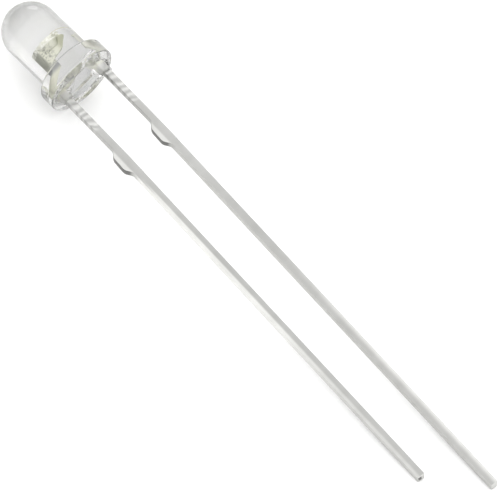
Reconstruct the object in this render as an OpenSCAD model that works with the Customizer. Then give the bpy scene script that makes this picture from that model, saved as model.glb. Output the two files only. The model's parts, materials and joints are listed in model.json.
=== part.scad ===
// Through hole lamp: a round 3 mm water-clear diode with two stamped legs. Millimetres.
// Every piece is drawn upright first: the flange's underside is on z = 0, the dome points up,
// the short leg is at -X, the long leg at +X and the lead frame lies in the XZ plane.
// lie_down() then lays it on the table as it comes to rest, on the flange's rim and both leg tips.

/* [Lens] */
// Diameter of the straight barrel and of the dome
barrel_d = 3.05; // [2.9:0.05:3.2]
// Height from the flange's underside to the top of the dome
lens_h = 5.4; // [4.8:0.1:6.5]
// Diameter of the flange
flange_d = 4; // [3.8:0.05:4.4]
// Height of the flange
flange_h = 1; // [0.8:0.05:1.2]
// Rounding of the flange's upper rim
flange_top_r = 0.18; // [0.08:0.02:0.25]
// Rounding of the flange's lower rim
flange_foot_r = 0.08; // [0.04:0.02:0.15]
// Rounding where the barrel rises from the flange
barrel_foot_r = 0.12; // [0.05:0.01:0.15]
// Depth of the cured surface in the middle of the underside
dish_depth = 0.1; // [0.05:0.01:0.2]
// Width of the plain lip round the underside
lip_w = 0.28; // [0.2:0.02:0.4]
// How far the clear meniscus runs down each leg
meniscus_h = 0.46; // [0.3:0.02:0.7]
// Least cover of the meniscus over a leg's corners
meniscus_film = 0.03; // [0.02:0.01:0.08]

/* [Legs] */
// Distance between the middles of the two legs
pitch = 2.54; // [2.4:0.02:2.6]
// Thickness of the stamped strip
strip_t = 0.4; // [0.35:0.01:0.5]
// Width of each leg below its stopper
leg_w = 0.43; // [0.4:0.01:0.5]
// Width of each leg between the lens and its stopper
shank_w = 0.36; // [0.32:0.01:0.4]
// Length of the long leg below the flange
anode_l = 30.8; // [26:0.1:34]
// Length of the short leg below the flange
cathode_l = 28.1; // [22:0.1:30]
// Sideways lean of both legs where they leave the lens
exit_lean = 1.5; // [0:0.1:3]
// Further sideways lean of both legs below the stoppers
stopper_lean = 1.3; // [0:0.1:3]

/* [Stoppers] */
// Distance from the flange's underside to the middle of each stopper
stopper_drop = 4.9; // [3:0.1:7]
// Length of each stopper along its leg
stopper_l = 1.8; // [1.2:0.1:2.4]
// How far each stopper stands out of its leg
stopper_out = 0.29; // [0.15:0.01:0.4]
// Length of the stopper's flat crest, as a share of its whole length
stopper_crest = 0.76; // [0.5:0.02:0.85]

/* [Lead frame inside the lens] */
// Height above the flange's underside where the strips start to jog inwards
jog_z = 0.32; // [0.2:0.02:0.4]
// Height that the jog takes
jog_h = 0.72; // [0.6:0.02:0.8]
// Width of the anvil's neck
neck_w = 0.38; // [0.3:0.02:0.42]
// Height of the cup's rim above the flange's underside
rim_z = 2.7; // [2.5:0.05:2.9]
// Width of the anvil's flat wedge
wedge_w = 1.2; // [1.1:0.02:1.3]
// How far the wedge's middle is set off towards the post
wedge_off = 0.02; // [0:0.01:0.06]
// Height of the wedge below the cup's rim
wedge_h = 1.08; // [0.9:0.02:1.2]
// How far the wedge's sloping shoulder falls below the cup's rim
shoulder_drop = 0.36; // [0.2:0.02:0.5]
// Height of the coined round head that holds the cup
head_h = 0.62; // [0.45:0.02:0.7]
// Wall between the cup's rim and the head's edge
rim_wall = 0.12; // [0.08:0.01:0.16]
// Gap between the wedge and the post
post_gap = 0.2; // [0.14:0.01:0.24]
// Width of the post
post_w = 0.36; // [0.3:0.02:0.4]
// How far the post's top is below the cup's rim
post_drop = 0.6; // [0.4:0.02:0.7]

/* [Cup, chip and wire] */
// Depth of the reflector cup
cup_depth = 0.3; // [0.25:0.01:0.4]
// Slope of the cup's wall, away from upright
cup_flare = 34; // [25:1:40]
// Side of the square chip
chip_side = 0.3; // [0.2:0.01:0.35]
// Height of the chip
chip_h = 0.15; // [0.1:0.01:0.2]
// How far the adhesive shows round the chip
attach_edge = 0.012; // [0.005:0.001:0.02]
// Thickness of the adhesive
attach_h = 0.02; // [0.01:0.005:0.03]
// Bare floor between the adhesive's corners and the cup's wall
floor_gap = 0.02; // [0.01:0.005:0.05]
// Diameter of the bond wire
wire_d = 0.03; // [0.02:0.002:0.04]
// Diameter of the ball bond on the chip
ball_d = 0.09; // [0.07:0.01:0.12]
// Height of the ball bond
ball_h = 0.035; // [0.02:0.005:0.05]
// Diameter of the stitch bond on the post
stitch_d = 0.12; // [0.1:0.01:0.16]
// Height of the stitch bond
stitch_h = 0.03; // [0.02:0.005:0.04]
// Rise of the wire's loop above its two bonds
wire_rise = 0.5; // [0.44:0.01:0.56]

/* [Hidden] */
$fn = 96;
// A cut goes this far past the face that it opens
past = 0.1;
// Steps along one stopper's outline
stopper_steps = 24;

// The lens
barrel_r = barrel_d / 2;
flange_r = flange_d / 2;
dome_z = lens_h - barrel_r;
lip_r = flange_r - lip_w;
dish_r = (lip_r * lip_r + dish_depth * dish_depth) / (2 * dish_depth);

// The clear foot round each leg
foot_r = norm([shank_w, strip_t]) / 2 + meniscus_film;
foot_sweep = meniscus_h + dish_depth;

// The cup and what stands in it
attach_side = chip_side + 2 * attach_edge;
cup_floor_r = attach_side / sqrt(2) + floor_gap;
cup_rim_r = cup_floor_r + cup_depth * tan(cup_flare);
cup_floor_z = rim_z - cup_depth;
head_r = cup_rim_r + rim_wall;
head_foot_r = cup_floor_r + rim_wall / 2;
chip_z = cup_floor_z + attach_h;
chip_top_z = chip_z + chip_h;

// The strips inside the lens
wedge_left = wedge_off - wedge_w / 2;
wedge_right = wedge_off + wedge_w / 2;
wedge_z = rim_z - wedge_h;
heel_x = wedge_right / 2;
heel_z = wedge_z + wedge_h / 5;
neck_right = wedge_left + neck_w;
jog_top_z = jog_z + jog_h;
strip_top_z = rim_z - rim_wall / 2;
post_left = wedge_right + post_gap;
post_right = post_left + post_w;
post_top_z = rim_z - post_drop;
post_nib = post_gap / 4;

// The wire: one arc from the middle of the ball to the middle of the stitch
stitch_x = post_left + post_w / 3;
wire_start = [0, chip_top_z + ball_h / 2];
wire_end = [stitch_x, post_top_z + stitch_h / 2];
wire_span = wire_end - wire_start;
wire_chord = norm(wire_span);
wire_slope = atan2(wire_span.y, wire_span.x);
loop_r = (wire_chord * wire_chord / 4 + wire_rise * wire_rise) / (2 * wire_rise);
loop_turn = 4 * atan(2 * wire_rise / wire_chord);

// The legs' right edge, which stays straight down to the stopper and leans once more below it
function lean_x(z) = z > -stopper_drop
    ? min(z, 0) * tan(exit_lean)
    : -stopper_drop * tan(exit_lean) + (z + stopper_drop) * tan(exit_lean + stopper_lean);
function right_x(leg_x, z) = leg_x + shank_w / 2 + lean_x(z);

// The left edge carries the stopper: a flat crest with soft shoulders, and the leg is wider below it
function stopper_u(z) = (z + stopper_drop) / (stopper_l / 2);
function crest(u) = 1 / (1 + pow(u / stopper_crest, 6));
function swell(u) = abs(u) < 1 ? (crest(u) - crest(1)) / (1 - crest(1)) : 0;
function width_at(u) = shank_w + (leg_w - shank_w) * (1 - max(-1, min(1, u))) / 2;
function left_x(leg_x, z) =
    right_x(leg_x, z) - width_at(stopper_u(z)) - stopper_out * swell(stopper_u(z));

// Where the lamp touches the table: the rim of its flange and the cathode-side corner of each tip
anode_x = pitch / 2;
cathode_x = -pitch / 2;
anode_touch = [left_x(anode_x, -anode_l), strip_t / 2, -anode_l];
cathode_touch = [left_x(cathode_x, -cathode_l), strip_t / 2, -cathode_l];
function unit(v) = v / norm(v);
function table_normal(rim) = unit(cross(anode_touch - rim, cathode_touch - rim));
function rim_touch(down) =
    (flange_r - flange_foot_r) * unit([down.x, down.y, 0])
    + [0, 0, flange_foot_r] + flange_foot_r * down;
first_down = table_normal([0, flange_r, 0]);
down = table_normal(rim_touch(first_down));
roll = atan2(down.x, down.y);
lay = -90 - atan2(down.z, norm([down.x, down.y]));

// Turned to the table: the dome points to -X and the long leg lies on the +Y side
function turn_z(p, a) = [p.x * cos(a) - p.y * sin(a), p.x * sin(a) + p.y * cos(a), p.z];
function turn_x(p, a) = [p.x, p.y * cos(a) - p.z * sin(a), p.y * sin(a) + p.z * cos(a)];
function laid(p) = turn_z(turn_x(turn_z(p, roll), lay), 90);
function tip_corners(leg_x, leg_l) = [
    for (x = [left_x(leg_x, -leg_l), right_x(leg_x, -leg_l)], y = [-strip_t / 2, strip_t / 2])
        laid([x, y, -leg_l])
];
corners = concat(tip_corners(anode_x, anode_l), tip_corners(cathode_x, cathode_l));
dome_middle = laid([0, 0, dome_z]);
low_x = dome_middle.x - barrel_r;
high_x = max([for (c = corners) c.x]);
low_y = min(concat([-flange_r], [for (c = corners) c.y]));
high_y = max(concat([flange_r], [for (c = corners) c.y]));
table_z = laid(rim_touch(down)).z;

module lie_down() {
    translate([-(low_x + high_x) / 2, -(low_y + high_y) / 2, -table_z])
        rotate([0, 0, 90])
            rotate([lay, 0, 0])
                rotate([0, 0, roll])
                    children();
}

// A flat outline in X and Z, given the strip's thickness about the XZ plane
module stamped() {
    rotate([90, 0, 0])
        linear_extrude(height = strip_t, center = true)
            children();
}

// The left edge of a leg from its tip up to the lens, over the stopper
function left_edge(leg_x, leg_l) = concat(
    [[left_x(leg_x, -leg_l), -leg_l]],
    [
        for (i = [0 : stopper_steps])
            let (z = -stopper_drop + stopper_l * (i / stopper_steps - 0.5))
                [left_x(leg_x, z), z]
    ],
    [[left_x(leg_x, 0), 0]]
);

// The right edge of a leg from the lens down to its tip
function right_edge(leg_x, leg_l) = [
    for (z = [0, -stopper_drop, -leg_l]) [right_x(leg_x, z), z]
];

// The short strip: leg, stopper, jog, neck, wedge and the coined head with its reflector cup
module cathode_form() {
    difference() {
        union() {
            stamped()
                polygon(concat(
                    left_edge(cathode_x, cathode_l),
                    [
                        [cathode_x - shank_w / 2, jog_z + shank_w / 4],
                        [wedge_left, jog_top_z + neck_w / 4],
                        [wedge_left, strip_top_z],
                        [cup_rim_r, strip_top_z],
                        [wedge_right, rim_z - shoulder_drop],
                        [heel_x, heel_z],
                        [neck_right, wedge_z],
                        [neck_right, jog_top_z],
                        [cathode_x + shank_w / 2, jog_z]
                    ],
                    right_edge(cathode_x, cathode_l)
                ));
            translate([0, 0, rim_z - head_h])
                cylinder(h = head_h, r1 = head_foot_r, r2 = head_r);
        }
        cup_space();
    }
}

// The reflector cup, open upwards
module cup_space() {
    slope = tan(cup_flare);
    translate([0, 0, cup_floor_z])
        cylinder(h = cup_depth + past, r1 = cup_floor_r, r2 = cup_rim_r + past * slope);
}

// The long strip: leg, stopper, jog and the post with its nib towards the cup
module anode_form() {
    stamped()
        polygon(concat(
            left_edge(anode_x, anode_l),
            [
                [anode_x - shank_w / 2, jog_z],
                [post_left, jog_top_z],
                [post_left, post_top_z - 3 * post_nib],
                [post_left - post_nib, post_top_z - post_nib],
                [post_left - post_nib, post_top_z],
                [post_right - post_nib, post_top_z],
                [post_right, post_top_z - post_nib],
                [post_right, jog_top_z + post_w / 4],
                [anode_x + shank_w / 2, jog_z + shank_w / 4]
            ],
            right_edge(anode_x, anode_l)
        ));
}

module attach_form() {
    translate([-attach_side / 2, -attach_side / 2, cup_floor_z])
        cube([attach_side, attach_side, attach_h]);
}

module chip_form() {
    translate([-chip_side / 2, -chip_side / 2, chip_z])
        cube([chip_side, chip_side, chip_h]);
}

// The wire lies in the XZ plane, from its ball on the chip to its stitch on the post
module wire_form() {
    translate([0, 0, chip_top_z])
        cylinder(h = ball_h, d = ball_d);
    translate([wire_start.x, 0, wire_start.y])
        rotate([90, -wire_slope, 0])
            translate([wire_chord / 2, wire_rise - loop_r])
                rotate([0, 0, 90 - loop_turn / 2])
                    rotate_extrude(angle = loop_turn)
                        translate([loop_r, 0])
                            circle(d = wire_d);
    translate([stitch_x, 0, post_top_z])
        cylinder(h = stitch_h, d = stitch_d);
}

// The half outline of flange, barrel and dome, turned about the Z axis
module casting_outline() {
    flange_in = flange_r - max(flange_top_r, flange_foot_r);
    square([flange_in, flange_h]);
    translate([0, flange_foot_r])
        square([flange_r, flange_h - flange_foot_r - flange_top_r]);
    translate([flange_r - flange_top_r, flange_h - flange_top_r])
        circle(r = flange_top_r);
    square([flange_r - flange_foot_r, flange_h / 2]);
    translate([flange_r - flange_foot_r, flange_foot_r])
        circle(r = flange_foot_r);
    square([barrel_r, dome_z]);
    difference() {
        square([barrel_r + barrel_foot_r, flange_h + barrel_foot_r]);
        translate([barrel_r + barrel_foot_r, flange_h + barrel_foot_r])
            circle(r = barrel_foot_r);
    }
    intersection() {
        translate([0, dome_z])
            circle(r = barrel_r);
        square([barrel_r, lens_h]);
    }
}

// The clear foot that creeps down one leg, swept in to the leg by a hollow curve
module leg_foot(leg_x) {
    translate([leg_x, 0, -meniscus_h])
        rotate_extrude()
            difference() {
                square([foot_r + foot_sweep, foot_sweep]);
                translate([foot_r + foot_sweep, 0])
                    circle(r = foot_sweep);
            }
}

// The whole casting before anything is cast into it
module casting_form() {
    difference() {
        rotate_extrude()
            casting_outline();
        translate([0, 0, dish_depth - dish_r])
            sphere(r = dish_r);
    }
    intersection() {
        union() {
            leg_foot(cathode_x);
            leg_foot(anode_x);
        }
        translate([0, 0, -meniscus_h - past])
            cylinder(h = meniscus_h + flange_h, r = flange_r - flange_foot_r);
    }
}

module lens() {
    color([0.9, 0.9, 0.88, 0.4])
        lie_down()
            difference() {
                casting_form();
                cathode_form();
                anode_form();
                attach_form();
                chip_form();
                wire_form();
            }
}

module cathode_lead() {
    color("silver")
        lie_down()
            cathode_form();
}

module anode_lead() {
    color("silver")
        lie_down()
            anode_form();
}

module die_attach() {
    color("lightslategray")
        lie_down()
            attach_form();
}

module led_chip() {
    color("khaki")
        lie_down()
            chip_form();
}

module bond_wire() {
    color("gold")
        lie_down()
            wire_form();
}

lens();
cathode_lead();
anode_lead();
die_attach();
led_chip();
bond_wire();
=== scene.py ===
import json
import math

import bmesh
import bpy
from mathutils import Matrix, Vector
from mathutils.geometry import delaunay_2d_cdt


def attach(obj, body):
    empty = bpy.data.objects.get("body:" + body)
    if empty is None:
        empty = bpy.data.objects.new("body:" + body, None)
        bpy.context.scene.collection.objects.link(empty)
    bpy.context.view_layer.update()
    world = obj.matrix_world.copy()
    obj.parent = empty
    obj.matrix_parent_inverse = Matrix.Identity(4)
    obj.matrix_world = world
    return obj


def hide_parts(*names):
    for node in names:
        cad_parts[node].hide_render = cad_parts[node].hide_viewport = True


# A clear 3 mm lamp lying on a pale studio floor, on the rim of its flange and the tips of its two legs.
# The lens, the legs, the chip, its adhesive and the wire are drawn upright in millimetres, flange down
# and dome up, as they are in the part's source, and are then laid on the floor in metres.

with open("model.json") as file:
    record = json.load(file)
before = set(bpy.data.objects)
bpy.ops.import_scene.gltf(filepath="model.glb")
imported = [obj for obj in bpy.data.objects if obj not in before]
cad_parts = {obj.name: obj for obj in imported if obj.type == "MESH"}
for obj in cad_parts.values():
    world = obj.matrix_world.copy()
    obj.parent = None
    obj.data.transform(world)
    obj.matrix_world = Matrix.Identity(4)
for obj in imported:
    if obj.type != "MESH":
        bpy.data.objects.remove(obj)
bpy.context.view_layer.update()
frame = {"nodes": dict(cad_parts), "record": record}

MM = 0.001

# Sizes of the upright lamp, in millimetres, and the legs' leans in degrees.

BARREL_R = 1.525
LENS_H = 5.4
DOME_Z = LENS_H - BARREL_R
FLANGE_R = 2.0
FLANGE_H = 1.0
FLANGE_TOP_R = 0.18
FLANGE_FOOT_R = 0.08
BARREL_FOOT_R = 0.12
DISH_DEPTH = 0.1
LIP_R = 1.72
MENISCUS_H = 0.46
FOOT_R = 0.299
FOOT_SWEEP = MENISCUS_H + DISH_DEPTH
FOOT_BLEND = 0.05
BARREL_MOUNT_Z = 2.5
LEG_X = 1.27

SHANK_W = 0.36
EXIT_LEAN = 1.5
STOPPER_LEAN = 1.3
STOPPER_DROP = 4.9
LONG_TIP_Z = -30.8
SHORT_TIP_Z = -28.1
EDGE_ROUND = 0.035
TIP_ROUND = 0.11

CHIP_SIDE = 0.3
CHIP_Z = 2.42
CHIP_TOP_Z = 2.57
ATTACH_SIDE = 0.324
ATTACH_Z = 2.4
WIRE_D = 0.03
BALL_D = 0.09
BALL_H = 0.035
STITCH_X = 0.94
STITCH_Z = 2.1
STITCH_D = 0.12
STITCH_H = 0.03
WIRE_RISE = 0.5


def laid_frame():
    """The matrix from the upright lamp, in millimetres, to the floor, in metres, read from the mounts."""
    mounts = {m["name"]: m for m in frame["record"]["mounts"]}
    barrel = mounts["lens_barrel"]
    axis = Vector(barrel["axis"]).normalized()
    underside = Vector(barrel["pos_m"]) - BARREL_MOUNT_Z * MM * axis
    shoulder = Vector(mounts["flange_shoulder"]["pos_m"])
    sideways = (underside + FLANGE_H * MM * axis - shoulder).normalized()
    across = sideways.cross(axis).normalized()
    sideways = axis.cross(across)
    axes = Matrix((across, sideways, axis)).transposed().to_4x4()
    return Matrix.Translation(underside) @ axes @ Matrix.Scale(MM, 4)


LAID = laid_frame()


# Node helpers.

def linear(hex_colour):
    """An sRGB hex colour as linear red, green, blue and alpha."""
    parts = [int(hex_colour[i:i + 2], 16) / 255 for i in (1, 3, 5)]
    return [p / 12.92 if p <= 0.04045 else ((p + 0.055) / 1.055) ** 2.4 for p in parts] + [1.0]


def add(tree, kind, inputs=None, **settings):
    """Adds one node with its settings, and sets or links each of its inputs."""
    made = tree.nodes.new(kind)
    for name, value in settings.items():
        setattr(made, name, value)
    for socket, value in (inputs or {}).items():
        if isinstance(value, bpy.types.NodeSocket):
            tree.links.new(value, made.inputs[socket])
        else:
            made.inputs[socket].default_value = value
    return made


def new_material(name):
    """A material with an empty tree and its output node."""
    material = bpy.data.materials.new(name)
    material.use_nodes = True
    material.node_tree.nodes.clear()
    return material, material.node_tree, add(material.node_tree, "ShaderNodeOutputMaterial")


# Materials. Their patterns follow the attribute "upright": a point's place on the upright lamp, in millimetres.

def cast_epoxy():
    """Water-clear epoxy, cast in a polished cup: glassy, with weak swirls, and painted shade: a greyer tint at the
    grazing rim and up the dome.
    """
    material, tree, out = new_material("cast epoxy, clear gloss")
    where = add(tree, "ShaderNodeAttribute", attribute_name="upright").outputs["Vector"]
    swirl = add(tree, "ShaderNodeTexNoise", {"Vector": where, "Scale": 0.7, "Detail": 2.0})
    tint = add(tree, "ShaderNodeMix", {0: swirl.outputs["Fac"], 6: linear("#EEEFE8"), 7: linear("#EDECF2")},
               data_type="RGBA")
    # Painted shade: the tint turns grey where the surface grazes the view, and up the dome
    slope = add(tree, "ShaderNodeLayerWeight", {"Blend": 0.5}).outputs["Facing"]
    rim = add(tree, "ShaderNodeMapRange", {"Value": slope, "From Min": 0.26, "From Max": 0.88, "To Max": 0.9},
              interpolation_type="SMOOTHSTEP")
    height = add(tree, "ShaderNodeSeparateXYZ", {"Vector": where}).outputs["Z"]
    dome = add(tree, "ShaderNodeMapRange", {"Value": height, "From Min": 3.4, "From Max": 4.8, "To Max": 0.4},
               interpolation_type="SMOOTHSTEP")
    greyer = add(tree, "ShaderNodeMath", {0: rim.outputs[0], 1: dome.outputs[0]}, operation="MAXIMUM")
    tint = add(tree, "ShaderNodeMix", {0: greyer.outputs[0], 6: tint.outputs[2], 7: linear("#757673")},
               data_type="RGBA")
    wave = add(tree, "ShaderNodeTexNoise", {"Vector": where, "Scale": 1.1, "Detail": 1.0})
    bump = add(tree, "ShaderNodeBump", {"Height": wave.outputs["Fac"], "Strength": 1.0, "Distance": 2e-6})
    gloss = add(tree, "ShaderNodeMapRange", {"Value": wave.outputs["Fac"], "To Min": 0.01, "To Max": 0.03})
    surface = add(tree, "ShaderNodeBsdfPrincipled", {
        "Base Color": tint.outputs[2], "Roughness": gloss.outputs[0], "IOR": 1.53,
        "Transmission Weight": 1.0, "Normal": bump.outputs["Normal"]})
    depth = add(tree, "ShaderNodeVolumeAbsorption", {"Color": linear("#BCBDB8"), "Density": 22.0})
    tree.links.new(surface.outputs[0], out.inputs["Surface"])
    tree.links.new(depth.outputs[0], out.inputs["Volume"])
    return material


def plated_strip():
    """Stamped steel strip, dipped in tin: a satin grey, and yellowish silver in the lens, with painted light and
    shade on the flats, on the cut edges (mostly darker), on the tips and on the anvil.
    """
    material, tree, out = new_material("tin-plated steel strip, satin")
    where = add(tree, "ShaderNodeAttribute", attribute_name="upright").outputs["Vector"]
    parts = add(tree, "ShaderNodeSeparateXYZ", {"Vector": where})
    x, y, z = (parts.outputs[letter] for letter in "XYZ")
    across, cut, end, long_leg = (add(tree, "ShaderNodeAttribute", attribute_name=name).outputs["Fac"]
                                  for name in ("across", "cut", "end", "long leg"))

    # Rolling streaks run along the leg, 0.04 mm apart, and soft clouds in the tin are about 1 mm long
    stretched = add(tree, "ShaderNodeVectorMath", {0: where, 1: (25.0, 25.0, 0.8)}, operation="MULTIPLY")
    streak = add(tree, "ShaderNodeTexNoise", {"Vector": stretched.outputs[0], "Detail": 3.0, "Scale": 1.0})
    cloud = add(tree, "ShaderNodeTexNoise", {"Vector": where, "Scale": 1.2, "Detail": 3.0})

    # Each place and its edges in millimetres: it fades in from the first number to the second
    place = {}
    for name, value, first, last in (
            ("inside", z, -0.1, 0.3), ("below stopper", z, -5.7, -6.3), ("half down", z, -7.0, -12.0),
            ("far down", z, -13.0, -21.0), ("near tip", z, -15.0, -24.0), ("from stopper", z, -6.0, -8.0),
            ("right half", across, -0.3, 0.02), ("left rim", across, -0.22, -0.34),
            ("bulge", across, -0.38, -0.5), ("shaded crest", across, -0.44, -0.56),
            ("above ripples' end", z, -2.9, -2.5), ("below lens", z, -0.3, -0.5),
            ("tip's low corner", across, -0.2, -0.28), ("tip's underside", y, 0.05, -0.05),
            ("anvil's left side", x, -0.46, -0.54), ("anvil's left half", x, 0.2, -0.3),
            ("anvil's right side", x, 0.1, 0.36), ("up the anvil", z, 1.3, 1.6), ("up the neck", z, 0.9, 1.2),
            ("rim", z, 2.4, 2.5)):
        place[name] = add(tree, "ShaderNodeMapRange", {"Value": value, "From Min": first, "From Max": last},
                          interpolation_type="SMOOTHSTEP").outputs[0]

    # Slanting ripples, 0.42 mm apart, where the tin ran back from the lens
    uneven = add(tree, "ShaderNodeMath", {0: cloud.outputs["Fac"], 1: 0.7, 2: z}, operation="MULTIPLY_ADD")
    slant = add(tree, "ShaderNodeMath", {0: across, 1: 0.45, 2: uneven.outputs[0]}, operation="MULTIPLY_ADD")
    turns = add(tree, "ShaderNodeMath", {0: slant.outputs[0], 1: 2 * math.pi / 0.42}, operation="MULTIPLY")
    wave = add(tree, "ShaderNodeMath", {0: turns.outputs[0]}, operation="SINE")
    upper = add(tree, "ShaderNodeMath", {0: wave.outputs[0], 1: place["above ripples' end"]}, operation="MULTIPLY")
    ripple = add(tree, "ShaderNodeMath", {0: upper.outputs[0], 1: place["below lens"]}, operation="MULTIPLY")

    # Tone of the flat faces, painted light and shade: the flats darken further down, and painted highlights lie
    # along the long leg's right edge far down, along the short leg's left rim below the stopper, and on the bulges
    long_painted_highlight = add(tree, "ShaderNodeMath", {0: place["right half"], 1: place["far down"]}, operation="MULTIPLY")
    long_flat_painted_tone = add(tree, "ShaderNodeMix", {0: place["half down"], 2: 0.86, 3: 0.78})
    long_flat_painted_tone = add(tree, "ShaderNodeMix", {0: long_painted_highlight.outputs[0], 2: long_flat_painted_tone.outputs[0], 3: 1.25})
    short_painted_highlight = add(tree, "ShaderNodeMath", {0: place["left rim"], 1: place["from stopper"]}, operation="MULTIPLY")
    short_painted_shine = add(tree, "ShaderNodeMix", {0: place["near tip"], 2: 1.3, 3: 0.98})
    short_flat_painted_tone = add(tree, "ShaderNodeMix", {0: place["half down"], 2: 0.82, 3: 0.78})
    short_flat_painted_tone = add(tree, "ShaderNodeMix", {
        0: short_painted_highlight.outputs[0], 2: short_flat_painted_tone.outputs[0], 3: short_painted_shine.outputs[0]})
    flat = add(tree, "ShaderNodeMix", {0: long_leg, 2: short_flat_painted_tone.outputs[0], 3: long_flat_painted_tone.outputs[0]})
    flat = add(tree, "ShaderNodeMix", {0: place["above ripples' end"], 2: flat.outputs[0], 3: 1.0})
    flat = add(tree, "ShaderNodeMix", {0: place["bulge"], 2: flat.outputs[0], 3: 1.2})

    # Tone of the cut edges, painted light and shade: painted shade on the stopper's crest, grey above the stopper,
    # and a lighter painted reflection below it
    long_cut_painted_tone = add(tree, "ShaderNodeMix", {0: place["far down"], 2: 1.06, 3: 1.0})
    short_cut_painted_tone = add(tree, "ShaderNodeMix", {0: place["near tip"], 2: 1.5, 3: 1.1})
    edge = add(tree, "ShaderNodeMix", {0: long_leg, 2: short_cut_painted_tone.outputs[0], 3: long_cut_painted_tone.outputs[0]})
    edge = add(tree, "ShaderNodeMix", {0: place["below stopper"], 2: 0.9, 3: edge.outputs[0]})
    edge = add(tree, "ShaderNodeMix", {0: place["shaded crest"], 2: edge.outputs[0], 3: 0.34})
    painted_tone = add(tree, "ShaderNodeMix", {0: cut, 2: flat.outputs[0], 3: edge.outputs[0]})

    # Painted light: behind the clear meniscus the tin is made half as bright again
    painted_tone = add(tree, "ShaderNodeMix", {0: place["below lens"], 2: 1.5, 3: painted_tone.outputs[0]})

    # The sheared end of a leg gets a painted highlight, and the short one a painted shade in its low corner
    corner = add(tree, "ShaderNodeMath", {0: place["tip's low corner"], 1: place["tip's underside"]},
                 operation="MULTIPLY")
    painted_tip_tone = add(tree, "ShaderNodeMix", {0: corner.outputs[0], 2: 1.0, 3: 0.3})
    painted_tip_tone = add(tree, "ShaderNodeMix", {0: long_leg, 2: painted_tip_tone.outputs[0], 3: 1.1})
    painted_tone = add(tree, "ShaderNodeMix", {0: end, 2: painted_tone.outputs[0], 3: painted_tip_tone.outputs[0]})
    # The ripples are a real relief in the bump; their light and dark bands are also painted into the colour. All
    # the tones above scale the tin as painted light and shade
    ripple_painted_shine = add(tree, "ShaderNodeMath", {0: ripple.outputs[0], 1: 0.2, 2: 1.0}, operation="MULTIPLY_ADD")
    painted_tone = add(tree, "ShaderNodeMath", {0: painted_tone.outputs[0], 1: ripple_painted_shine.outputs[0]}, operation="MULTIPLY")
    tin = add(tree, "ShaderNodeMix", {0: cloud.outputs["Fac"], 6: linear("#B2B2AF"), 7: linear("#C8C8C6")},
              data_type="RGBA")
    tin = add(tree, "ShaderNodeVectorMath", {0: tin.outputs[2], "Scale": painted_tone.outputs[0]}, operation="SCALE")

    # In the lens the strip is silvered and yellowish; painted shade darkens the anvil's left side and, in specks
    # 0.1 mm across, its left half
    speck = add(tree, "ShaderNodeTexNoise", {"Vector": where, "Scale": 9.0, "Detail": 4.0, "Roughness": 0.7})
    shade_specks = add(tree, "ShaderNodeMapRange", {"Value": speck.outputs["Fac"], "From Min": 0.46, "From Max": 0.6})
    patchy = add(tree, "ShaderNodeMath", {0: shade_specks.outputs[0], 1: place["anvil's left half"]},
                 operation="MULTIPLY")
    anvil_painted_shade = add(tree, "ShaderNodeMath", {0: patchy.outputs[0], 1: place["anvil's left side"]}, operation="MAXIMUM")
    anvil_painted_shade = add(tree, "ShaderNodeMath", {0: anvil_painted_shade.outputs[0], 1: place["up the anvil"]}, operation="MULTIPLY")
    silver = add(tree, "ShaderNodeMix", {0: cloud.outputs["Fac"], 6: linear("#D3D3C2"), 7: linear("#E6E6D9")},
                 data_type="RGBA")
    # Painted shade: the anvil's right side is a darker olive
    silver = add(tree, "ShaderNodeMix", {0: place["anvil's right side"], 6: silver.outputs[2],
                                         7: linear("#B4B59E")}, data_type="RGBA")
    silver = add(tree, "ShaderNodeMix", {0: anvil_painted_shade.outputs[0], 6: silver.outputs[2], 7: linear("#9FA095")},
                 data_type="RGBA")
    # Painted glints along the coined rim of the cup, broken into specks
    glint_specks = add(tree, "ShaderNodeMapRange", {"Value": speck.outputs["Fac"], "From Min": 0.42, "From Max": 0.6})
    bright = add(tree, "ShaderNodeMath", {0: place["rim"], 1: glint_specks.outputs[0]}, operation="MULTIPLY")
    silver = add(tree, "ShaderNodeMix", {0: bright.outputs[0], 6: silver.outputs[2], 7: linear("#FFFFF8")},
                 data_type="RGBA")
    # Painted shade: the neck below the anvil is a darker grey
    neck = add(tree, "ShaderNodeMath", {0: place["up the neck"], 1: place["up the anvil"]}, operation="SUBTRACT")
    silver = add(tree, "ShaderNodeMix", {0: neck.outputs[0], 6: silver.outputs[2], 7: linear("#9C9D9D")},
                 data_type="RGBA")
    # Painted highlight: the long leg's post in the lens is a pale, bright silver
    silver = add(tree, "ShaderNodeMix", {0: long_leg, 6: silver.outputs[2], 7: linear("#F0F0E5")},
                 data_type="RGBA")

    colour = add(tree, "ShaderNodeMix", {0: place["inside"], 6: tin.outputs[0], 7: silver.outputs[2]},
                 data_type="RGBA")
    satin = add(tree, "ShaderNodeMapRange", {"Value": streak.outputs["Fac"], "From Min": 0.3, "From Max": 0.7,
                                             "To Min": 0.31, "To Max": 0.38})
    satin = add(tree, "ShaderNodeMix", {0: cut, 2: satin.outputs[0], 3: 0.45})
    rough = add(tree, "ShaderNodeMix", {0: place["inside"], 2: satin.outputs[0], 3: 0.38})
    relief = add(tree, "ShaderNodeMath", {0: ripple.outputs[0], 1: 3.0, 2: streak.outputs["Fac"]},
                 operation="MULTIPLY_ADD")
    bump = add(tree, "ShaderNodeBump", {"Height": relief.outputs[0], "Strength": 1.0, "Distance": 2e-6})
    surface = add(tree, "ShaderNodeBsdfPrincipled", {
        "Base Color": colour.outputs[2], "Metallic": 1.0, "Roughness": rough.outputs[0],
        "Normal": bump.outputs["Normal"]})
    tree.links.new(surface.outputs[0], out.inputs["Surface"])
    return material


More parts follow.
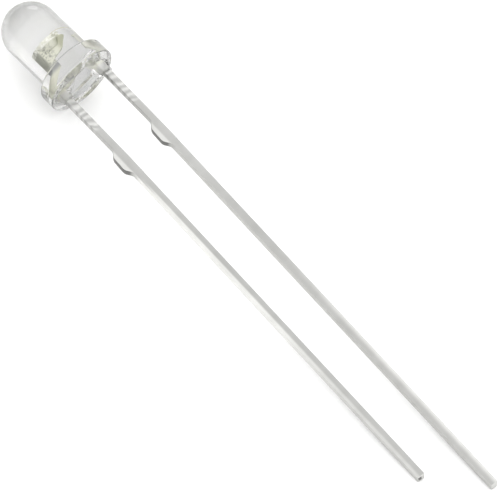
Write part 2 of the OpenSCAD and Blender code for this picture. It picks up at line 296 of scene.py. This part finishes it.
def silver_adhesive():
    """Silver-filled adhesive, cured: grey, with flakes that glint."""
    material, tree, out = new_material("silver-filled adhesive, cured")
    where = add(tree, "ShaderNodeAttribute", attribute_name="upright").outputs["Vector"]
    flakes = add(tree, "ShaderNodeTexVoronoi", {"Vector": where, "Scale": 60.0})
    colour = add(tree, "ShaderNodeMix", {0: flakes.outputs["Distance"], 6: linear("#B4B6B8"),
                                         7: linear("#76797B")}, data_type="RGBA")
    bump = add(tree, "ShaderNodeBump", {"Height": flakes.outputs["Distance"], "Distance": 3e-6})
    surface = add(tree, "ShaderNodeBsdfPrincipled", {
        "Base Color": colour.outputs[2], "Metallic": 0.6, "Roughness": 0.4, "Normal": bump.outputs["Normal"]})
    tree.links.new(surface.outputs[0], out.inputs["Surface"])
    return material


def sawn_chip():
    """Semiconductor chip: polished top with a metal pad in the middle, and matt sides as the saw left them."""
    material, tree, out = new_material("semiconductor, sawn and polished")
    where = add(tree, "ShaderNodeAttribute", attribute_name="upright").outputs["Vector"]
    parts = add(tree, "ShaderNodeSeparateXYZ", {"Vector": where})
    flat = add(tree, "ShaderNodeVectorMath", {0: where, 1: (1.0, 1.0, 0.0)}, operation="MULTIPLY")
    radius = add(tree, "ShaderNodeVectorMath", {0: flat.outputs[0]}, operation="LENGTH")
    pad = add(tree, "ShaderNodeMath", {0: radius.outputs["Value"], 1: 0.065}, operation="LESS_THAN")
    saw = add(tree, "ShaderNodeTexNoise", {"Vector": where, "Scale": 40.0, "Detail": 3.0})
    body = add(tree, "ShaderNodeMix", {0: saw.outputs["Fac"], 6: linear("#8E8A60"), 7: linear("#B4AF85")},
               data_type="RGBA")
    colour = add(tree, "ShaderNodeMix", {0: pad.outputs[0], 6: body.outputs[2], 7: linear("#E3C77A")},
                 data_type="RGBA")
    top = add(tree, "ShaderNodeMath", {0: parts.outputs["Z"], 1: CHIP_TOP_Z - 0.005}, operation="GREATER_THAN")
    roughness = add(tree, "ShaderNodeMapRange", {"Value": top.outputs[0], "To Min": 0.5, "To Max": 0.12})
    surface = add(tree, "ShaderNodeBsdfPrincipled", {
        "Base Color": colour.outputs[2], "Metallic": pad.outputs[0], "Roughness": roughness.outputs[0]})
    tree.links.new(surface.outputs[0], out.inputs["Surface"])
    return material


def gold_wire():
    """Drawn gold wire: a pale, bright line, with faint marks of the die along it."""
    material, tree, out = new_material("gold, drawn wire")
    where = add(tree, "ShaderNodeAttribute", attribute_name="upright").outputs["Vector"]
    marks = add(tree, "ShaderNodeTexNoise", {"Vector": where, "Scale": 50.0, "Detail": 2.0})
    colour = add(tree, "ShaderNodeMix", {0: marks.outputs["Fac"], 6: linear("#EADFBE"), 7: linear("#F4EDD6")},
                 data_type="RGBA")
    roughness = add(tree, "ShaderNodeMapRange", {"Value": marks.outputs["Fac"], "To Min": 0.15, "To Max": 0.3})
    surface = add(tree, "ShaderNodeBsdfPrincipled", {
        "Base Color": colour.outputs[2], "Metallic": 1.0, "Roughness": roughness.outputs[0]})
    tree.links.new(surface.outputs[0], out.inputs["Surface"])
    return material


def studio_paper():
    """Matt white studio paper: almost pure white, with a very fine tooth."""
    material, tree, out = new_material("studio paper, matt white")
    coords = add(tree, "ShaderNodeTexCoord").outputs["Object"]
    tooth = add(tree, "ShaderNodeTexNoise", {"Vector": coords, "Scale": 900.0, "Detail": 2.0})
    colour = add(tree, "ShaderNodeMix", {0: tooth.outputs["Fac"], 6: linear("#F9F9F8"), 7: linear("#FCFCFC")},
                 data_type="RGBA")
    surface = add(tree, "ShaderNodeBsdfPrincipled", {
        "Base Color": colour.outputs[2], "Roughness": 0.9, "Specular IOR Level": 0.1})
    tree.links.new(surface.outputs[0], out.inputs["Surface"])
    return material


# Mesh helpers.

def arc(centre, radius, start, end, steps):
    """Points along an arc in the plane of radius and height, angles in degrees."""
    turns = [math.radians(start + (end - start) * i / steps) for i in range(steps + 1)]
    return [(centre[0] + radius * math.cos(t), centre[1] + radius * math.sin(t)) for t in turns]


def line(start, end, steps):
    """Points from start to end, without the end itself."""
    return [(start[0] + (end[0] - start[0]) * i / steps, start[1] + (end[1] - start[1]) * i / steps)
            for i in range(steps)]


def ring(bm, radius, height, count, centre=(0.0, 0.0)):
    """A closed ring of vertices round a point."""
    return [bm.verts.new((centre[0] + radius * math.cos(2 * math.pi * i / count),
                          centre[1] + radius * math.sin(2 * math.pi * i / count), height))
            for i in range(count)]


def bridge(bm, lower, upper):
    """Quads between two rings with the same count."""
    count = len(lower)
    for i in range(count):
        j = (i + 1) % count
        bm.faces.new((lower[i], lower[j], upper[j], upper[i]))


def close_end(bm, outline, height, centre=(0.0, 0.0)):
    """A fan from a ring to one point."""
    tip = bm.verts.new((*centre, height))
    for i, v in enumerate(outline):
        bm.faces.new((v, outline[(i + 1) % len(outline)], tip))


def turned(bm, profile, count, centre=(0.0, 0.0)):
    """A turned shape from a profile of radii and heights. A first or last radius of zero closes it there."""
    rings = [ring(bm, r, z, count, centre) for r, z in profile if r]
    for lower, upper in zip(rings, rings[1:]):
        bridge(bm, lower, upper)
    for (radius, height), outline in ((profile[0], rings[0]), (profile[-1], rings[-1])):
        if not radius:
            close_end(bm, outline, height, centre)


def finished(bm, name, material, crease=30.0):
    """Turns upright millimetres into a laid object in metres that carries its upright place."""
    bmesh.ops.recalc_face_normals(bm, faces=bm.faces)
    mesh = bpy.data.meshes.new(name)
    bm.to_mesh(mesh)
    bm.free()
    return placed(mesh, name, material, crease)


def placed(mesh, name, material, crease=30.0):
    """Lays an upright mesh on the floor, keeps its upright place as an attribute, and shades it smooth."""
    upright = [c for v in mesh.vertices for c in v.co]
    mesh.attributes.new("upright", "FLOAT_VECTOR", "POINT").data.foreach_set("vector", upright)
    mesh.transform(LAID)
    mesh.polygons.foreach_set("use_smooth", [True] * len(mesh.polygons))
    mesh.set_sharp_from_angle(angle=math.radians(crease))
    mesh.materials.clear()
    mesh.materials.append(material)
    piece = bpy.data.objects.new(name, mesh)
    bpy.context.scene.collection.objects.link(piece)
    return piece


def evaluated_copy(piece):
    """The piece's mesh with its modifiers worked in, as a mesh of its own."""
    graph = bpy.context.evaluated_depsgraph_get()
    graph.update()
    mesh = bpy.data.meshes.new_from_object(piece.evaluated_get(graph))
    bpy.data.objects.remove(piece)
    return mesh


# The lens.

def underside(x, y):
    """Height of the cured underside: a shallow dish that sinks into a meniscus round each leg."""
    r = math.hypot(x, y)
    dish_r = (LIP_R ** 2 + DISH_DEPTH ** 2) / (2 * DISH_DEPTH)
    height = DISH_DEPTH - dish_r + math.sqrt(dish_r ** 2 - r ** 2) if r < LIP_R else 0.0
    for leg_x in (-LEG_X, LEG_X):
        out = FOOT_R + FOOT_SWEEP - math.hypot(x - leg_x, y)
        if out > 0:
            foot = math.sqrt(max(FOOT_SWEEP ** 2 - out ** 2, 0.0)) - MENISCUS_H
            share = min(max(0.5 + 0.5 * (height - foot) / FOOT_BLEND, 0.0), 1.0)
            height = height + (foot - height) * share - FOOT_BLEND * share * (1 - share)
    return height


def cast_lens(material):
    """Flange, barrel and dome as one casting, closed below by the dished underside and its two feet."""
    bm = bmesh.new()
    around = 192
    lip = FLANGE_R - FLANGE_FOOT_R
    top = FLANGE_R - FLANGE_TOP_R
    neck = BARREL_R + BARREL_FOOT_R
    profile = arc((lip, FLANGE_FOOT_R), FLANGE_FOOT_R, -90, 0, 8)
    profile += line((FLANGE_R, FLANGE_FOOT_R), (FLANGE_R, FLANGE_H - FLANGE_TOP_R), 6)[1:]
    profile += arc((top, FLANGE_H - FLANGE_TOP_R), FLANGE_TOP_R, 0, 90, 12)
    profile += arc((neck, FLANGE_H + BARREL_FOOT_R), BARREL_FOOT_R, 270, 180, 10)
    profile += line((BARREL_R, FLANGE_H + BARREL_FOOT_R), (BARREL_R, DOME_Z), 14)[1:]
    profile += arc((0, DOME_Z), BARREL_R, 0, 90, 48)[:-1] + [(0.0, LENS_H)]
    turned(bm, profile, around)

    # The underside's points: the lip, rings down each foot at every 4 degrees of its sweep, and an even web
    # of points, 0.05 mm apart, over the rest. The lip and the innermost rings are kept as edges
    points = [Vector((lip * math.cos(2 * math.pi * i / around), lip * math.sin(2 * math.pi * i / around)))
              for i in range(around)]
    edges = [(i, (i + 1) % around) for i in range(around)]
    foot_count, foot_end = 72, 70
    for leg_x in (-LEG_X, LEG_X):
        first = len(points)
        edges += [(first + i, first + (i + 1) % foot_count) for i in range(foot_count)]
        for degrees in range(0, foot_end + 1, 4):
            rho = FOOT_R + FOOT_SWEEP * (1 - math.cos(math.radians(degrees)))
            points += [Vector((leg_x + rho * math.cos(2 * math.pi * i / foot_count),
                               rho * math.sin(2 * math.pi * i / foot_count))) for i in range(foot_count)]
    foot_reach = FOOT_R + FOOT_SWEEP * (1 - math.cos(math.radians(foot_end)))
    step = 0.05
    for k in range(int(lip / step)):
        r = k * step
        count = max(1, round(2 * math.pi * r / step))
        for i in range(count):
            p = Vector((r * math.cos(2 * math.pi * i / count), r * math.sin(2 * math.pi * i / count)))
            if min((p - Vector((s, 0))).length for s in (-LEG_X, LEG_X)) > foot_reach:
                points.append(p)

    # The faces inside the innermost rings are left out, and each foot is then closed flat round its leg
    flat, _, faces, *_ = delaunay_2d_cdt(points, edges, [], 0, 1e-7)
    verts = [bm.verts.new((p.x, p.y, 0.0 if p.length > lip - 1e-5 else underside(p.x, p.y))) for p in flat]
    for face in faces:
        middle = sum((flat[i] for i in face), Vector((0, 0))) / len(face)
        if min((middle - Vector((s, 0))).length for s in (-LEG_X, LEG_X)) > FOOT_R - 1e-4:
            bm.faces.new([verts[i] for i in face])
    bmesh.ops.remove_doubles(bm, verts=bm.verts, dist=1e-5)
    bmesh.ops.holes_fill(bm, edges=[e for e in bm.edges if e.is_boundary], sides=0)
    return finished(bm, "clear_lens", material, crease=50.0)


# The legs.

def right_edge(leg_x, z):
    """The straight right edge of a leg, which leans where it leaves the lens and again below the stopper."""
    upper, lower = (math.tan(math.radians(lean)) for lean in (EXIT_LEAN, EXIT_LEAN + STOPPER_LEAN))
    above, below = max(min(z, 0.0), -STOPPER_DROP), min(z + STOPPER_DROP, 0.0)
    return leg_x + SHANK_W / 2 + above * upper + below * lower


def stamped_lead(node, name, leg_x, tip_z, material):
    """A copy of one strip with its tip drawn in to a round end, and its stamped edges rounded."""
    bm = bmesh.new()
    bm.from_mesh(frame["nodes"][node].data)
    bm.transform(LAID.inverted())
    bmesh.ops.remove_doubles(bm, verts=bm.verts, dist=1e-4)
    bmesh.ops.dissolve_limit(bm, angle_limit=math.radians(0.6), verts=bm.verts, edges=bm.edges)

    # The tip is cut into slices, and each one is drawn in towards the end's middle
    for degrees in range(0, 90, 15):
        slice_z = tip_z + TIP_ROUND * (1 - math.sin(math.radians(degrees)))
        bmesh.ops.bisect_plane(bm, geom=bm.verts[:] + bm.edges[:] + bm.faces[:], plane_no=(0, 0, 1),
                               plane_co=(0, 0, slice_z))
    end = [v.co for v in bm.verts if v.co.z < tip_z + 0.01]
    middle = sum(end, Vector()) / len(end)
    for v in bm.verts:
        depth = (tip_z + TIP_ROUND - v.co.z) / TIP_ROUND
        if depth > 0:
            drawn_in = 1 - TIP_ROUND * (1 - math.sqrt(1 - min(depth, 1.0) ** 2)) / (SHANK_W / 2)
            v.co.x = middle.x + (v.co.x - middle.x) * drawn_in
            v.co.y = middle.y + (v.co.y - middle.y) * drawn_in

    mesh = bpy.data.meshes.new(name)
    bm.to_mesh(mesh)
    bm.free()
    blank = bpy.data.objects.new(name + "_blank", mesh)
    bpy.context.scene.collection.objects.link(blank)
    bevel = blank.modifiers.new("rounded edges", "BEVEL")
    bevel.width = EDGE_ROUND
    bevel.segments = 3
    bevel.limit_method = "ANGLE"
    bevel.angle_limit = math.radians(35)
    bevel.use_clamp_overlap = True
    mesh = evaluated_copy(blank)

    # What the tin's pattern needs: the distance from the right edge, which leg it is, the cut edges, which turn
    # away from the front and the back (on the stopper's crest only the steepest), and the end, which faces down
    across = [v.co.x - right_edge(leg_x, v.co.z) for v in mesh.vertices]
    mesh.attributes.new("across", "FLOAT", "POINT").data.foreach_set("value", across)
    crest = [face.center.x - right_edge(leg_x, face.center.z) < -0.5 for face in mesh.polygons]
    cut = [float(abs(face.normal.y) < (0.35 if high else 0.93)) for face, high in zip(mesh.polygons, crest)]
    mesh.attributes.new("cut", "FLOAT", "FACE").data.foreach_set("value", cut)
    mesh.attributes.new("long leg", "FLOAT", "FACE").data.foreach_set("value", [float(leg_x > 0)] * len(cut))
    end = [float(face.normal.z < -0.5 and face.center.z < tip_z + 0.2) for face in mesh.polygons]
    mesh.attributes.new("end", "FLOAT", "FACE").data.foreach_set("value", end)
    return placed(mesh, name, material, crease=40.0)


# The chip, its adhesive and the wire.

def block(bm, half_low, half_high, low, high, corner, steps=5):
    """A square block with rounded corners, whose sides may lean."""
    levels = []
    for half, z in ((half_low, low), (half_high, high)):
        reach = half - corner
        outline = []
        for quarter, (side_x, side_y) in enumerate(((1, 1), (-1, 1), (-1, -1), (1, -1))):
            outline += arc((side_x * reach, side_y * reach), corner, 90 * quarter, 90 * quarter + 90, steps)
        levels.append([bm.verts.new((x, y, z)) for x, y in outline])
    bridge(bm, *levels)
    bm.faces.new(levels[1])
    bm.faces.new(reversed(levels[0]))


def die_chip(material):
    """The chip: a square block whose sides lean in a little, as sawn."""
    bm = bmesh.new()
    block(bm, CHIP_SIDE / 2, CHIP_SIDE / 2 - 0.012, CHIP_Z, CHIP_TOP_Z, 0.012)
    return finished(bm, "chip", material)


def adhesive_pad(material):
    """The film of adhesive, squeezed out a little past the chip."""
    bm = bmesh.new()
    block(bm, ATTACH_SIDE / 2, ATTACH_SIDE / 2 - 0.008, ATTACH_Z, CHIP_Z, 0.03)
    return finished(bm, "chip_adhesive", material)


def wire_loop_tree(material):
    """An arc through three points, given a round section: its sizes are the tree's inputs."""
    tree = bpy.data.node_groups.new("bond wire loop", "GeometryNodeTree")
    tree.interface.new_socket("Geometry", in_out="OUTPUT", socket_type="NodeSocketGeometry")
    for name in ("Start", "Middle", "End"):
        tree.interface.new_socket(name, in_out="INPUT", socket_type="NodeSocketVector")
    tree.interface.new_socket("Wire radius", in_out="INPUT", socket_type="NodeSocketFloat")
    given = add(tree, "NodeGroupInput")
    loop = add(tree, "GeometryNodeCurveArc", {
        "Start": given.outputs["Start"], "Middle": given.outputs["Middle"], "End": given.outputs["End"],
        "Resolution": 48}, mode="POINTS")
    section = add(tree, "GeometryNodeCurvePrimitiveCircle", {
        "Resolution": 16, "Radius": given.outputs["Wire radius"]})
    tube = add(tree, "GeometryNodeCurveToMesh", {
        "Curve": loop.outputs["Curve"], "Profile Curve": section.outputs["Curve"], "Fill Caps": True})
    real = add(tree, "GeometryNodeRealizeInstances", {"Geometry": tube.outputs["Mesh"]})
    painted = add(tree, "GeometryNodeSetMaterial", {"Geometry": real.outputs["Geometry"], "Material": material})
    add(tree, "NodeGroupOutput", {"Geometry": painted.outputs["Geometry"]})
    return tree


def bond_wire(material):
    """The gold wire: a squashed ball on the chip, one loop, and a flat stitch on the post."""
    start = Vector((0, 0, CHIP_TOP_Z + BALL_H / 2))
    end = Vector((STITCH_X, 0, STITCH_Z + STITCH_H / 2))
    chord = end - start
    rise = Vector((-chord.z, 0, chord.x)).normalized() * WIRE_RISE
    tree = wire_loop_tree(material)
    host = bpy.data.objects.new("loop_blank", bpy.data.meshes.new("loop_blank"))
    bpy.context.scene.collection.objects.link(host)
    loop = host.modifiers.new("loop", "NODES")
    loop.node_group = tree
    sizes = {"Start": start, "Middle": start + chord / 2 + rise, "End": end, "Wire radius": WIRE_D / 2}
    for item in tree.interface.items_tree:
        if item.in_out == "INPUT" and item.name in sizes:
            loop[item.identifier] = sizes[item.name]
    mesh = evaluated_copy(host)
    bm = bmesh.new()
    bm.from_mesh(mesh)
    half = BALL_H / 2
    ball = [(0.0, CHIP_TOP_Z)] + arc((BALL_D / 2 - half, CHIP_TOP_Z + half), half, -90, 90, 10)
    ball += [(WIRE_D / 2 + 0.004, CHIP_TOP_Z + BALL_H + 0.002), (0.0, CHIP_TOP_Z + BALL_H + 0.004)]
    turned(bm, ball, 32)
    stitch = [(0.0, STITCH_Z), (STITCH_D / 2, STITCH_Z), (STITCH_D / 2 - 0.006, STITCH_Z + STITCH_H / 2),
              (STITCH_D / 4, STITCH_Z + STITCH_H), (0.0, STITCH_Z + STITCH_H + 0.002)]
    turned(bm, stitch, 32, centre=(STITCH_X, 0.0))
    return finished(bm, "gold_bond_wire", material)


# The pieces.

EPOXY = cast_epoxy()
STRIP = plated_strip()

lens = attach(cast_lens(EPOXY), "root")
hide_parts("lens")

short_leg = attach(stamped_lead("cathode_lead", "short_leg_with_cup", -LEG_X, SHORT_TIP_Z, STRIP), "root")
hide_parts("cathode_lead")

long_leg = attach(stamped_lead("anode_lead", "long_leg_with_post", LEG_X, LONG_TIP_Z, STRIP), "root")
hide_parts("anode_lead")

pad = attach(adhesive_pad(silver_adhesive()), "root")
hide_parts("die_attach")

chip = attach(die_chip(sawn_chip()), "root")
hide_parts("led_chip")

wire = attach(bond_wire(gold_wire()), "root")
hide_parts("bond_wire")


# The studio.

def studio_floor():
    """A wide sheet of paper, level with the lamp's lowest points."""
    bm = bmesh.new()
    bmesh.ops.create_grid(bm, x_segments=8, y_segments=8, size=2.0)
    mesh = bpy.data.meshes.new("floor")
    bm.to_mesh(mesh)
    bm.free()
    mesh.materials.append(studio_paper())
    floor = bpy.data.objects.new("floor", mesh)
    # A hair under the lamp, so that the two don't share a plane
    floor.location.z = -2e-6
    bpy.context.scene.collection.objects.link(floor)


def photo_camera():
    """The photograph's viewpoint, fitted to the outline of the lamp in it."""
    azimuth, elevation, roll = (math.radians(v) for v in (45.669, 55.193, -2.602))
    away = Vector((math.sin(azimuth) * math.cos(elevation), -math.cos(azimuth) * math.cos(elevation),
                   math.sin(elevation)))
    level = Vector((0, 0, 1)).cross(away).normalized()
    up = away.cross(level) * math.cos(roll) + level * math.sin(roll)
    right = up.cross(away)
    camera = bpy.data.cameras.new("camera")
    camera.sensor_width = 36.0
    camera.lens = 867.6
    camera.clip_start = 0.01
    camera.clip_end = 20.0
    holder = bpy.data.objects.new("camera", camera)
    axes = Matrix((right, up, away)).transposed().to_4x4()
    aim = Vector((-0.0292, 0.3042, 1.3627)) * MM
    distance = 600 * MM
    holder.matrix_world = Matrix.Translation(aim + away * distance) @ axes
    bpy.context.scene.collection.objects.link(holder)
    bpy.context.scene.camera = holder


def studio_light():
    """A white light tent: soft light all round, greyer along the horizon and past the dome, and a soft window."""
    world = bpy.data.worlds.new("studio")
    world.use_nodes = True
    tree = world.node_tree
    tree.nodes.clear()
    direction = add(tree, "ShaderNodeTexCoord").outputs["Generated"]
    part = add(tree, "ShaderNodeSeparateXYZ", {"Vector": direction})
    walls = add(tree, "ShaderNodeMapRange", {
        "Value": part.outputs["Z"], "From Min": 0.1, "From Max": 0.6, "To Min": 0.85, "To Max": 1.47})
    strength = add(tree, "ShaderNodeMath", {0: part.outputs["X"], 1: 0.4, 2: walls.outputs[0]},
                   operation="MULTIPLY_ADD")
    # The window glints in the dome and in the flange's underside; it lies behind the lamp's left, low down
    towards = add(tree, "ShaderNodeVectorMath", {0: direction, 1: (-0.66, 0.65, 0.38)}, operation="DOT_PRODUCT")
    window = add(tree, "ShaderNodeMapRange", {
        "Value": towards.outputs["Value"], "From Min": 0.96, "From Max": 0.995, "To Max": 2.2},
        interpolation_type="SMOOTHSTEP")
    lit = add(tree, "ShaderNodeMath", {0: strength.outputs[0], 1: window.outputs[0]}, operation="ADD")
    tent = add(tree, "ShaderNodeBackground", {"Color": linear("#FFFFFF"), "Strength": lit.outputs[0]})
    add(tree, "ShaderNodeOutputWorld", {"Surface": tent.outputs[0]})
    bpy.context.scene.world = world


studio_floor()
studio_light()
photo_camera()
bpy.context.scene.view_settings.view_transform = "Standard"

# Light crosses many clear faces in the lens before it leaves
bpy.context.scene.cycles.max_bounces = 32
bpy.context.scene.cycles.transmission_bounces = 32
bpy.context.scene.cycles.glossy_bounces = 16
